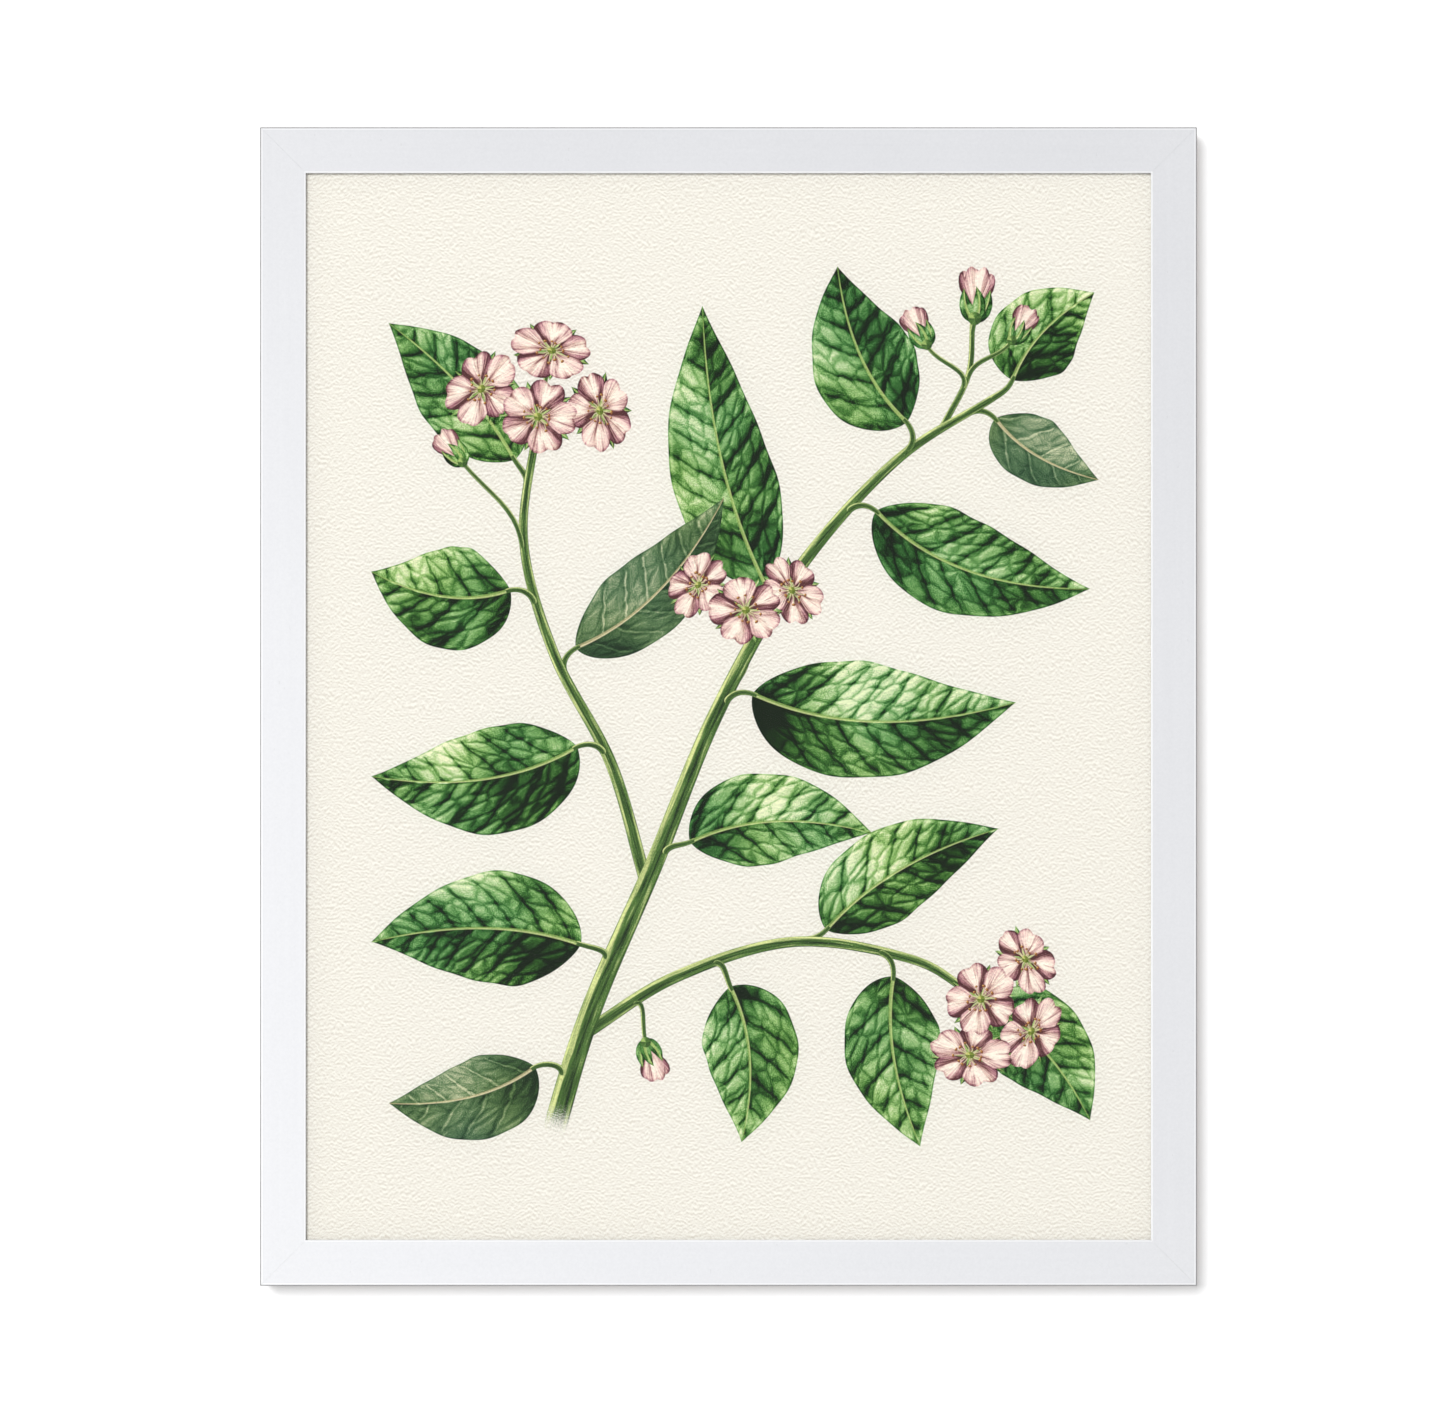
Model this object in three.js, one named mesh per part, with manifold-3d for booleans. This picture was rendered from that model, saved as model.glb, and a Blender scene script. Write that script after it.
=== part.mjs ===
// A white mitred picture frame with a 16 x 20 in print behind glass, hung on a wall nail.
// Millimetres. +X is the viewer's right, +Z is up and the front faces -Y. The wall is the plane y = 0, and the
// origin is the point of it over the middle notch of the hanger, where the wall nail bears.
import * as THREE from "three";
import { mergeVertices } from "three/addons/utils/BufferGeometryUtils.js";
import Module from "manifold-3d";

const wasm = await Module();
wasm.setup();

// ---- Driving dimensions ----------------------------------------------------------------------------------

const SHEET_WIDTH = 406.4;
const SHEET_HEIGHT = 508;
const SHEET_THICKNESS = 0.4;
const GLASS_THICKNESS = 1.5;
const BACKING_THICKNESS = 3;

const RAIL_FACE = 21; // width of a rail seen from the front
const RAIL_DEPTH = 22;
const LIP_THICKNESS = 1.6;
const LIP_COVER = 9.5; // how much of the sheet's edge the lip hides
const SHEET_PLAY = 1; // room between the sheet's edge and the rabbet's wall
const FRONT_ARRIS = 0.5; // radius of the two front edges of a rail
const BACK_ARRIS = 0.6; // bevel of the outer back edge
const ARRIS_STEPS = 6;

const MITRE_GAP = 0.03; // glue line between two rails
const SEAT_GAP = 0.1; // between pieces that rest on each other
const PRINT_GAP = 0.3; // air between the glass and the sheet, which isn't pressed flat

const BUMPER = { diameter: 9.4, height: 3, edge: 0.8, inset: 14, sides: 40 };
const CORNER_NAIL = { leg: 5, thickness: 0.6, depth: 10, inward: 8 };
const POINT = { width: 6, driven: 6, exposed: 10, thickness: 0.5, taper: 3, corner: 1.2 };
const POINTS_PER_RAIL = { left: 3, top: 2, right: 3, bottom: 2 };
const POINT_END_MARGIN = 90; // from a rail's end to its first point
const HANGER = { width: 44, height: 9.2, thickness: 0.8, rise: 1.5, middle: 20, ramp: 3, corner: 2 };
const TOOTH = { count: 7, pitch: 2.5, depth: 1.6 };
const HANGER_NAIL = { fromMiddle: 18, shank: 1.6, length: 9, tip: 1.5, head: 3.6, headHeight: 0.8, sides: 24 };
const CUT_CLEARANCE = 0.1; // round a piece of steel let into the wood

// ---- Derived sizes and levels ----------------------------------------------------------------------------

const OUTER_WIDTH = SHEET_WIDTH - 2 * LIP_COVER + 2 * RAIL_FACE;
const OUTER_HEIGHT = SHEET_HEIGHT - 2 * LIP_COVER + 2 * RAIL_FACE;
const RABBET_WIDTH = LIP_COVER + SHEET_PLAY;
const BACK_STRIP = RAIL_FACE - RABBET_WIDTH; // width of a rail's back face

// Along Y, from the wall to the front of the rails, then back through what the rabbet holds.
const RAIL_BACK_Y = -BUMPER.height;
const RAIL_FRONT_Y = RAIL_BACK_Y - RAIL_DEPTH;
const LIP_BACK_Y = RAIL_FRONT_Y + LIP_THICKNESS;
const GLASS_FRONT_Y = LIP_BACK_Y + SEAT_GAP;
const SHEET_FRONT_Y = GLASS_FRONT_Y + GLASS_THICKNESS + PRINT_GAP;
const BACKING_FRONT_Y = SHEET_FRONT_Y + SHEET_THICKNESS + SEAT_GAP;
const POINT_FRONT_Y = BACKING_FRONT_Y + BACKING_THICKNESS + SEAT_GAP;

// Along Z, the hanger's notches are at 0, and the hanger is centred on the top rail's back face.
const HANGER_TOP_Z = HANGER.height - TOOTH.depth;
const TOP_Z = HANGER_TOP_Z + (BACK_STRIP - HANGER.height) / 2;
const MIDDLE_Z = TOP_Z - OUTER_HEIGHT / 2;

// ---- Materials -------------------------------------------------------------------------------------------

function finish(color, roughness, metalness = 0) {
  return new THREE.MeshStandardMaterial({ color, roughness, metalness });
}

const whiteLacquer = () => finish(0xf3f4f6, 0.4);
const clearGlass = () => new THREE.MeshStandardMaterial({
  color: 0xeef6f3, roughness: 0.03, metalness: 0, transparent: true, opacity: 0.2,
});
const creamPaper = () => finish(0xf5f1e7, 0.9);
const brownFibreboard = () => finish(0xa9825a, 0.85);
const zincSteel = () => finish(0xb9bcc0, 0.35, 1);
const brassedSteel = () => finish(0xc2a265, 0.35, 1);
const clearRubber = () => finish(0xd9dad6, 0.5);

// ---- Geometry helpers ------------------------------------------------------------------------------------

// A closed geometry as a solid that can be cut.
function solidOf(geometry) {
  const bare = geometry.clone();
  bare.deleteAttribute("normal");
  bare.deleteAttribute("uv");
  const merged = mergeVertices(bare);
  return new wasm.Manifold(new wasm.Mesh({
    numProp: 3,
    vertProperties: new Float32Array(merged.getAttribute("position").array),
    triVerts: new Uint32Array(merged.getIndex().array),
  }));
}

function geometryOf(solid) {
  const mesh = solid.getMesh();
  const geometry = new THREE.BufferGeometry();
  geometry.setAttribute("position", new THREE.BufferAttribute(mesh.vertProperties, 3));
  geometry.setIndex(new THREE.BufferAttribute(mesh.triVerts, 1));
  geometry.computeVertexNormals();
  return geometry;
}

function cut(geometry, cutters) {
  return geometryOf(cutters.reduce((left, cutter) => left.subtract(solidOf(cutter)), solidOf(geometry)));
}

function outline(points) {
  return new THREE.Shape(points.map(([x, y]) => new THREE.Vector2(x, y)));
}

// An outline drawn in X and Z, made into a plate that reaches from frontY back towards the wall.
function plate(shape, frontY, thickness) {
  const slab = new THREE.ExtrudeGeometry(shape, { depth: thickness, bevelEnabled: false, curveSegments: 6 });
  return slab.rotateX(Math.PI / 2).translate(0, frontY + thickness, 0);
}

function roundedRectangle(left, bottom, right, top, radius) {
  const shape = new THREE.Shape();
  shape.moveTo(left + radius, bottom);
  shape.lineTo(right - radius, bottom);
  shape.absarc(right - radius, bottom + radius, radius, -Math.PI / 2, 0);
  shape.lineTo(right, top - radius);
  shape.absarc(right - radius, top - radius, radius, 0, Math.PI / 2);
  shape.lineTo(left + radius, top);
  shape.absarc(left + radius, top - radius, radius, Math.PI / 2, Math.PI);
  shape.lineTo(left, bottom + radius);
  shape.absarc(left + radius, bottom + radius, radius, Math.PI, Math.PI * 1.5);
  shape.closePath();
  return shape;
}

// A profile of [radius, height] pairs turned round an axis that points back to the wall, from height 0 at y.
function turned(profile, y, sides) {
  const points = profile.map(([radius, height]) => new THREE.Vector2(radius, height));
  return new THREE.LatheGeometry(points, sides).translate(0, y, 0);
}

function mesh(name, geometry, material) {
  const part = new THREE.Mesh(geometry, material);
  part.name = name;
  return part;
}

// ---- Rails -----------------------------------------------------------------------------------------------
// Each side of the frame is a group whose X runs along the rail and whose Z runs in from the outer edge.

// Section of a rail: X is the distance in from the outer edge, Y is the row's own Y.
function railSection() {
  const r = FRONT_ARRIS;
  const shape = new THREE.Shape();
  shape.moveTo(BACK_ARRIS, RAIL_BACK_Y);
  shape.lineTo(0, RAIL_BACK_Y - BACK_ARRIS);
  shape.lineTo(0, RAIL_FRONT_Y + r);
  shape.absarc(r, RAIL_FRONT_Y + r, r, Math.PI, Math.PI * 1.5);
  shape.lineTo(RAIL_FACE - r, RAIL_FRONT_Y);
  shape.absarc(RAIL_FACE - r, RAIL_FRONT_Y + r, r, Math.PI * 1.5, Math.PI * 2);
  shape.lineTo(RAIL_FACE, LIP_BACK_Y);
  shape.lineTo(BACK_STRIP, LIP_BACK_Y);
  shape.lineTo(BACK_STRIP, RAIL_BACK_Y);
  shape.closePath();
  return shape;
}

// The section run along X, with each end pulled in by its distance from the outer edge, which is the mitre.
function mitredBar(length) {
  const bar = new THREE.ExtrudeGeometry(railSection(), {
    depth: length, bevelEnabled: false, curveSegments: ARRIS_STEPS,
  });
  const position = bar.getAttribute("position");
  const halfGlueLine = MITRE_GAP / Math.SQRT2;
  for (let i = 0; i < position.count; i += 1) {
    const pull = position.getX(i) + halfGlueLine;
    const along = position.getZ(i);
    position.setZ(i, along < length / 2 ? pull : length - pull);
  }
  return bar.translate(0, 0, -length / 2).rotateY(-Math.PI / 2);
}

// A V of strip steel that ties a mitre, its point on the glue line and one leg in each rail.
function cornerNail(length, grow = 0) {
  const half = CORNER_NAIL.thickness / 2 + grow;
  const leg = CORNER_NAIL.leg + grow;
  const vee = outline([[half, half], [-leg, half], [-leg, -half], [-half, -half], [-half, -leg], [half, -leg]]);
  const frontY = RAIL_BACK_Y - CORNER_NAIL.depth - grow;
  return plate(vee, frontY, CORNER_NAIL.depth + 2 * grow)
    .translate(CORNER_NAIL.inward - length / 2, 0, CORNER_NAIL.inward);
}

// The same nail's slot at both ends of a rail, run out through its back face.
function cornerNailSlots(length) {
  const first = cornerNail(length, CUT_CLEARANCE);
  const inwardX = length / 2 - CORNER_NAIL.inward;
  const second = first.clone().translate(inwardX, 0, -CORNER_NAIL.inward).rotateY(-Math.PI / 2)
    .translate(inwardX, 0, CORNER_NAIL.inward);
  return [first, second];
}

// A flexible point: a steel tab whose tapered end is driven into the rabbet's wall and whose other end holds
// the backing down.
function flexPoint(along) {
  const half = POINT.width / 2;
  const tipHalf = half - POINT.corner * 1.5;
  const driven = BACK_STRIP - POINT.driven;
  const end = BACK_STRIP + POINT.exposed;
  const tab = outline([
    [-tipHalf, driven], [tipHalf, driven], [half, driven + POINT.taper], [half, end - POINT.corner],
    [half - POINT.corner, end], [POINT.corner - half, end], [-half, end - POINT.corner],
    [-half, driven + POINT.taper],
  ]);
  return plate(tab, POINT_FRONT_Y, POINT.thickness).translate(along, 0, 0);
}

function pointSlit(along) {
  const half = POINT.width / 2 + CUT_CLEARANCE;
  const driven = BACK_STRIP - POINT.driven - CUT_CLEARANCE;
  const mouth = BACK_STRIP + 1;
  const slit = outline([[-half, driven], [half, driven], [half, mouth], [-half, mouth]]);
  return plate(slit, POINT_FRONT_Y - CUT_CLEARANCE, POINT.thickness + 2 * CUT_CLEARANCE).translate(along, 0, 0);
}

function pointPlaces(length, count) {
  const reach = length / 2 - POINT_END_MARGIN;
  return Array.from({ length: count }, (_, i) => -reach + (2 * reach * i) / (count - 1));
}

// One side of the frame: the rail, its points, and the corner nail at the end where its X is lowest.
function frameSide(side, length, cornerName, otherCutters = []) {
  const places = pointPlaces(length, POINTS_PER_RAIL[side]);
  const cutters = [...places.map(pointSlit), ...cornerNailSlots(length), ...otherCutters];
  const group = new THREE.Group();
  group.add(mesh(`rail_${side}`, cut(mitredBar(length), cutters), whiteLacquer()));
  group.add(mesh(`corner_nail_${cornerName}`, cornerNail(length), zincSteel()));
  places.forEach((along, i) => group.add(mesh(`point_${side}_${i + 1}`, flexPoint(along), zincSteel())));
  return group;
}

// ---- Hanging hardware ------------------------------------------------------------------------------------

const HANGER_FRONT_Y = RAIL_BACK_Y + SEAT_GAP;
const NAIL_HEAD_Y = HANGER_FRONT_Y + HANGER.thickness + SEAT_GAP / 2;
const HANGER_NAIL_Z = HANGER_TOP_Z - HANGER.height / 2;

// Steel strip with flat ends on the rail and a raised middle, whose lower edge is cut into teeth.
function sawtoothHanger() {
  const flat = HANGER_FRONT_Y;
  const raised = flat + HANGER.rise;
  const stations = [
    [HANGER.width / 2, flat], [HANGER.middle / 2 + HANGER.ramp, flat], [HANGER.middle / 2, raised],
    [-HANGER.middle / 2, raised], [-HANGER.middle / 2 - HANGER.ramp, flat], [-HANGER.width / 2, flat],
  ];
  const back = stations.map(([x, y]) => [x, y + HANGER.thickness]);
  const strip = new THREE.ExtrudeGeometry(outline([...back, ...stations.reverse()]), {
    depth: HANGER.height, bevelEnabled: false,
  }).translate(0, 0, -TOOTH.depth);

  const halfWidth = HANGER.width / 2;
  const corners = roundedRectangle(-halfWidth, -TOOTH.depth, halfWidth, HANGER_TOP_Z, HANGER.corner);
  const rounded = solidOf(strip).intersect(solidOf(plate(corners, RAIL_BACK_Y, BUMPER.height)));

  const notch = outline([[0, 0], [-TOOTH.pitch / 2, -TOOTH.depth], [-TOOTH.pitch / 2, -2 * TOOTH.depth],
    [TOOTH.pitch / 2, -2 * TOOTH.depth], [TOOTH.pitch / 2, -TOOTH.depth]]);
  const cutters = Array.from({ length: TOOTH.count }, (_, i) => plate(notch, RAIL_BACK_Y, BUMPER.height)
    .translate((i - (TOOTH.count - 1) / 2) * TOOTH.pitch, 0, 0));
  const holeRadius = HANGER_NAIL.shank / 2 + CUT_CLEARANCE;
  for (const sign of [-1, 1]) {
    cutters.push(new THREE.CylinderGeometry(holeRadius, holeRadius, BUMPER.height, HANGER_NAIL.sides)
      .translate(sign * HANGER_NAIL.fromMiddle, RAIL_BACK_Y + BUMPER.height / 2, HANGER_NAIL_Z));
  }
  return cut(geometryOf(rounded), cutters);
}

function hangerNail(grow = 0) {
  const shank = HANGER_NAIL.shank / 2 + grow;
  const reach = HANGER_NAIL.length + grow;
  const head = HANGER_NAIL.head / 2;
  return turned([
    [0, -reach], [shank, HANGER_NAIL.tip - reach], [shank, 0], [head, 0], [head, HANGER_NAIL.headHeight * 0.4],
    [head * 0.75, HANGER_NAIL.headHeight * 0.85], [0, HANGER_NAIL.headHeight],
  ], NAIL_HEAD_Y, HANGER_NAIL.sides);
}

// The nails' holes, in the top side's own group, where Z runs down from the frame's top edge.
function hangerNailHoles() {
  return [-1, 1].map((sign) => hangerNail(CUT_CLEARANCE)
    .translate(sign * HANGER_NAIL.fromMiddle, 0, TOP_Z - HANGER_NAIL_Z));
}

function bumper() {
  const radius = BUMPER.diameter / 2;
  const { edge, height } = BUMPER;
  const bevel = edge * 0.3; // where the rounded edge is halfway
  return turned([
    [0, 0], [radius, 0], [radius, height - SEAT_GAP - edge], [radius - bevel, height - SEAT_GAP - bevel],
    [radius - edge, height - SEAT_GAP], [0, height - SEAT_GAP],
  ], RAIL_BACK_Y + SEAT_GAP, BUMPER.sides);
}

// ---- Assembly --------------------------------------------------------------------------------------------

const picture = new THREE.Group();

// Turning each side's group about Y carries its inward Z round to face the middle of the frame.
const SIDES = [
  { name: "bottom", length: OUTER_WIDTH, corner: "bottom_left", x: 0, z: -OUTER_HEIGHT / 2 },
  { name: "left", length: OUTER_HEIGHT, corner: "top_left", x: -OUTER_WIDTH / 2, z: 0 },
  { name: "top", length: OUTER_WIDTH, corner: "top_right", x: 0, z: OUTER_HEIGHT / 2, cutters: hangerNailHoles() },
  { name: "right", length: OUTER_HEIGHT, corner: "bottom_right", x: OUTER_WIDTH / 2, z: 0 },
];
SIDES.forEach(({ name, length, corner, x, z, cutters }, quarterTurns) => {
  const side = frameSide(name, length, corner, cutters);
  side.position.set(x, 0, MIDDLE_Z + z);
  side.rotation.y = (quarterTurns * Math.PI) / 2;
  picture.add(side);
});

const STACK = [
  ["glazing", GLASS_THICKNESS, GLASS_FRONT_Y, clearGlass()],
  ["print_sheet", SHEET_THICKNESS, SHEET_FRONT_Y, creamPaper()],
  ["backing_board", BACKING_THICKNESS, BACKING_FRONT_Y, brownFibreboard()],
];
for (const [name, thickness, frontY, material] of STACK) {
  const layer = mesh(name, new THREE.BoxGeometry(SHEET_WIDTH, thickness, SHEET_HEIGHT), material);
  layer.position.set(0, frontY + thickness / 2, MIDDLE_Z);
  picture.add(layer);
}

picture.add(mesh("sawtooth_hanger", sawtoothHanger(), brassedSteel()));
for (const [sideName, sign] of [["left", -1], ["right", 1]]) {
  const nail = mesh(`hanger_nail_${sideName}`, hangerNail(), brassedSteel());
  nail.position.set(sign * HANGER_NAIL.fromMiddle, 0, HANGER_NAIL_Z);
  const foot = mesh(`bumper_${sideName}`, bumper(), clearRubber());
  foot.position.set(sign * (OUTER_WIDTH / 2 - BUMPER.inset), 0, TOP_Z - OUTER_HEIGHT + BACK_STRIP / 2);
  picture.add(nail, foot);
}

export default picture;
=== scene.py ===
"""A framed botanical print on a pale wall: the looks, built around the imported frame.

Metres, +Z up, front at -Y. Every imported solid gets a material, and the small metal and rubber ones get
finely rounded edges. The drawing on the sheet is made here, as flat shapes with UV maps for its inks.
"""
import math
import random
from collections import namedtuple

import bpy
from mathutils import Matrix, Vector


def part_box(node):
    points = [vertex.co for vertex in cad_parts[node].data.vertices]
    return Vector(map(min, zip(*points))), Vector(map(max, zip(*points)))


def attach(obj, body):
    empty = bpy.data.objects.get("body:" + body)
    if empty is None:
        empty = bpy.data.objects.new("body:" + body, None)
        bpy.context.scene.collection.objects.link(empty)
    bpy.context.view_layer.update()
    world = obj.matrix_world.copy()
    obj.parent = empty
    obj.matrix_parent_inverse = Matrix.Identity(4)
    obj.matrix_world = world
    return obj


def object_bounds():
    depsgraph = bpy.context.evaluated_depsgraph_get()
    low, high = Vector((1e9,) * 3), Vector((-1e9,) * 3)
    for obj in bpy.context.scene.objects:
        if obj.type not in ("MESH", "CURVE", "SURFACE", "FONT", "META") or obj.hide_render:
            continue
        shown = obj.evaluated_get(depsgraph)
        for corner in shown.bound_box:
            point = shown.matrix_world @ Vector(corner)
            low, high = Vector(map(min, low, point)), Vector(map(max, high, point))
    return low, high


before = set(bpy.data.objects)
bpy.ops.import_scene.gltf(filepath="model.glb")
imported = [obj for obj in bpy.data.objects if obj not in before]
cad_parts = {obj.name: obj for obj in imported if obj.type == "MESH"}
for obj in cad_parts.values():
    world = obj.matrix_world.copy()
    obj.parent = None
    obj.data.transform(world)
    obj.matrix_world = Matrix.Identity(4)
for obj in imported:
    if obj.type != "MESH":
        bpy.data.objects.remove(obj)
CAD_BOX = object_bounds()
BODY = "root"
MM = 0.001

# ---- Sizes taken from the frame ----------------------------------------------------------------

OUTER_LOW, OUTER_HIGH = CAD_BOX
FRAME_WIDTH = OUTER_HIGH.x - OUTER_LOW.x
FRAME_HEIGHT = OUTER_HIGH.z - OUTER_LOW.z
MIDDLE_Z = (OUTER_LOW.z + OUTER_HIGH.z) / 2
FRONT_Y = OUTER_LOW.y
GLASS_BACK_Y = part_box("glazing")[1].y
SHEET_FRONT_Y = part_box("print_sheet")[0].y
RAIL_BACK_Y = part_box("rail_left")[1].y
RAIL_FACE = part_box("rail_left")[1].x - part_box("rail_left")[0].x
SHEET_PLAY = 1.0 * MM  # between the sheet's edge and the rabbet's side
BACK_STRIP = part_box("print_sheet")[0].x - OUTER_LOW.x - SHEET_PLAY  # width of a rail's bare back face


# ---- Colour and node helpers -------------------------------------------------------------------

def srgb(red, green, blue):
    """A colour written as 0-255 display values, in Blender's linear light."""
    def linear(value):
        value /= 255
        return value / 12.92 if value <= 0.04045 else ((value + 0.055) / 1.055) ** 2.4
    return (linear(red), linear(green), linear(blue), 1.0)


class Field:
    """A number in a node tree. Arithmetic on it adds Math nodes."""

    def __init__(self, graph, socket):
        self.graph = graph
        self.socket = socket

    def __add__(self, other):
        return self.graph.math("ADD", self, other)

    __radd__ = __add__

    def __sub__(self, other):
        return self.graph.math("SUBTRACT", self, other)

    def __rsub__(self, other):
        return self.graph.math("SUBTRACT", other, self)

    def __mul__(self, other):
        return self.graph.math("MULTIPLY", self, other)

    def __truediv__(self, other):
        return self.graph.math("DIVIDE", self, other)

    def __abs__(self):
        return self.graph.math("ABSOLUTE", self)


class Graph:
    """One material's node tree, written as formulas."""

    def __init__(self, name):
        self.material = bpy.data.materials.new(name)
        self.material.use_nodes = True
        self.tree = self.material.node_tree
        self.tree.nodes.clear()

    def node(self, kind, inputs=None, out=0, **settings):
        made = self.tree.nodes.new("ShaderNode" + kind)
        for name, value in settings.items():
            setattr(made, name, value)
        for key, value in (inputs or {}).items():
            if isinstance(value, Field):
                self.tree.links.new(value.socket, made.inputs[key])
            else:
                made.inputs[key].default_value = value
        return Field(self, made.outputs[out])

    def math(self, operation, *values, clamp=False):
        return self.node("Math", dict(enumerate(values)), operation=operation, use_clamp=clamp)

    def step(self, value, low, high):
        """0 below low and 1 above high, smooth between; the other way round where low is above high."""
        return self.node("MapRange", {"Value": value, "From Min": low, "From Max": high},
                         interpolation_type="SMOOTHSTEP")

    def clamp(self, value):
        return self.math("ADD", value, 0.0, clamp=True)

    def noise(self, vector, scale, detail, roughness=0.5, dimensions="3D"):
        return self.node("TexNoise", {"Vector": vector, "Scale": scale, "Detail": detail,
                                      "Roughness": roughness}, noise_dimensions=dimensions)

    def flat_noise(self, vector, scale=1.0, detail=1.0, roughness=0.5):
        """Noise on the flat, from about -0.5 to 0.5."""
        return self.noise(vector, scale, detail, roughness, "2D") - 0.5

    def cells(self, vector):
        """Distance to the edge between cells, in cells."""
        return self.node("TexVoronoi", {"Vector": vector, "Scale": 1.0}, feature="DISTANCE_TO_EDGE",
                         voronoi_dimensions="2D", out="Distance")

    def vector(self, x, y, z=0.0):
        return self.node("CombineXYZ", {"X": x, "Y": y, "Z": z})

    def parts(self, vector):
        split = self.node("SeparateXYZ", {"Vector": vector})
        outputs = split.socket.node.outputs
        return [Field(self, outputs[i]) for i in range(3)]

    def uv(self, name):
        u, v, _ = self.parts(self.node("UVMap", uv_map=name))
        return u, v

    def place(self):
        return self.node("TexCoord", out="Object")

    def mix(self, factor, first, second, blend="MIX"):
        return self.node("Mix", {0: factor, 6: first, 7: second}, out=2, data_type="RGBA",
                         blend_type=blend)

    def ramp(self, factor, stops):
        """Colours by factor; stops are (position, colour)."""
        made = self.node("ValToRGB", {"Fac": factor})
        elements = made.socket.node.color_ramp.elements
        for position, colour in stops[2:]:
            elements.new(position)
        for element, (position, colour) in zip(elements, stops):
            element.position = position
            element.color = colour
        return made

    def bump(self, height, distance, strength):
        return self.node("Bump", {"Height": height, "Distance": distance, "Strength": strength})

    def finish(self, colour, roughness, normal=None, **sockets):
        """Closes the material with one Principled shader."""
        inputs = {"Base Color": colour, "Roughness": roughness}
        inputs.update({name.replace("_", " "): value for name, value in sockets.items()})
        if normal is not None:
            inputs["Normal"] = normal
        shader = self.node("BsdfPrincipled", inputs)
        self.node_out(shader)
        return self.material

    def node_out(self, shader):
        """Ends the tree in this shader."""
        output = self.tree.nodes.new("ShaderNodeOutputMaterial")
        self.tree.links.new(shader.socket, output.inputs["Surface"])


# ---- Materials of the frame --------------------------------------------------------------------

LACQUER = (0.727, 0.734, 0.758, 1.0)
LACQUER_SHADED = (0.665, 0.672, 0.697, 1.0)
LACQUER_PAINTED_HIGHLIGHT = (0.86, 0.865, 0.88, 1.0)  # painted highlight along the front's arrises
LACQUER_EDGE_SHADE_AND_NIBS = (0.30, 0.30, 0.305, 1.0)  # painted shade: a dark line on the very outer edge; also the colour of the dust nibs
RAW_WOOD = [(0.0, srgb(150, 112, 74)), (0.5, srgb(196, 160, 116)), (1.0, srgb(222, 192, 150))]


def lacquered_rail(name, along):
    """White satin lacquer on the face and sides, bare wood on the back and in the rabbet. Along the
    front's edges lie a painted highlight and a painted dark line of shade.
    """
    g = Graph(name)
    place = g.place()
    x, y, z = g.parts(place)
    run, across = (x, z) if along == "x" else (z, x)

    # distance in from the frame's outer edge, and out from the opening
    inward = g.math("MINIMUM", FRAME_WIDTH / 2 - abs(x), FRAME_HEIGHT / 2 - abs(z - MIDDLE_Z))
    outward = RAIL_FACE - inward
    # the back and the rabbet are bare wood, but for some overspray along the outer edge
    overspray = g.noise(place, 420.0, 3.0) * (0.9 * MM)
    on_back = g.step(y, RAIL_BACK_Y - 0.05 * MM, RAIL_BACK_Y - 0.02 * MM)
    past_edge = g.step(inward - overspray, 0.7 * MM, 1.1 * MM)
    in_rabbet = g.step(inward, BACK_STRIP - 0.1 * MM, BACK_STRIP - 0.05 * MM) * g.step(
        y, SHEET_FRONT_Y, SHEET_FRONT_Y + 0.05 * MM)
    bare = g.math("MAXIMUM", on_back * past_edge, in_rabbet)

    grain = g.noise(g.vector(run * 9.0, across * 420.0, y * 420.0), 1.0, 3.0, 0.6)
    pores = g.step(g.noise(g.vector(run * 60.0, across * 1500.0, y * 1500.0), 1.0, 1.0), 0.62, 0.72)
    wood = g.ramp(g.clamp(grain * 1.5 - 0.25 - pores * 0.25), RAW_WOOD)

    film = g.noise(place, 1100.0, 1.0)
    cloud = g.noise(place, 14.0, 1.0)
    # the front's edges get a painted highlight, and the very edge of the outer one a painted dark line of
    # shade
    at_front = g.step(y, FRONT_Y + 0.9 * MM, FRONT_Y + 0.7 * MM)
    painted_highlight = g.step(inward, 1.4 * MM, 1.0 * MM) * 0.6 + g.step(outward, 0.8 * MM, 0.5 * MM)
    painted_edge_shade = g.step(inward + film * (0.1 * MM), 0.66 * MM, 0.44 * MM) * at_front
    # the wood's grain shows faintly through the film, which has dried a little unevenly
    uneven = g.clamp(cloud * 0.4 + grain * 0.5 + g.noise(place, 900.0, 1.0) * 0.9 - 0.4)
    white = g.mix(uneven, LACQUER_SHADED, LACQUER)
    nibs = g.step(g.noise(place, 430.0, 0.0), 0.835, 0.865)
    white = g.mix(nibs * 0.12, white, LACQUER_EDGE_SHADE_AND_NIBS)
    # painted highlight along the front's arrises
    white = g.mix(painted_highlight * at_front, white, LACQUER_PAINTED_HIGHLIGHT)
    # painted shade: a dark line on the very outer edge
    white = g.mix(painted_edge_shade, white, LACQUER_EDGE_SHADE_AND_NIBS)
    roughness = (0.34 + cloud * 0.05 + film * 0.03) * (1.0 - bare) + bare * 0.8
    height = (film * 0.12 + grain * 0.10) * (1.0 - bare) + (grain * 0.7 - pores * 0.6) * bare
    return g.finish(g.mix(bare, white, wood), roughness, g.bump(height, 0.05 * MM, 0.5))


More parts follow.
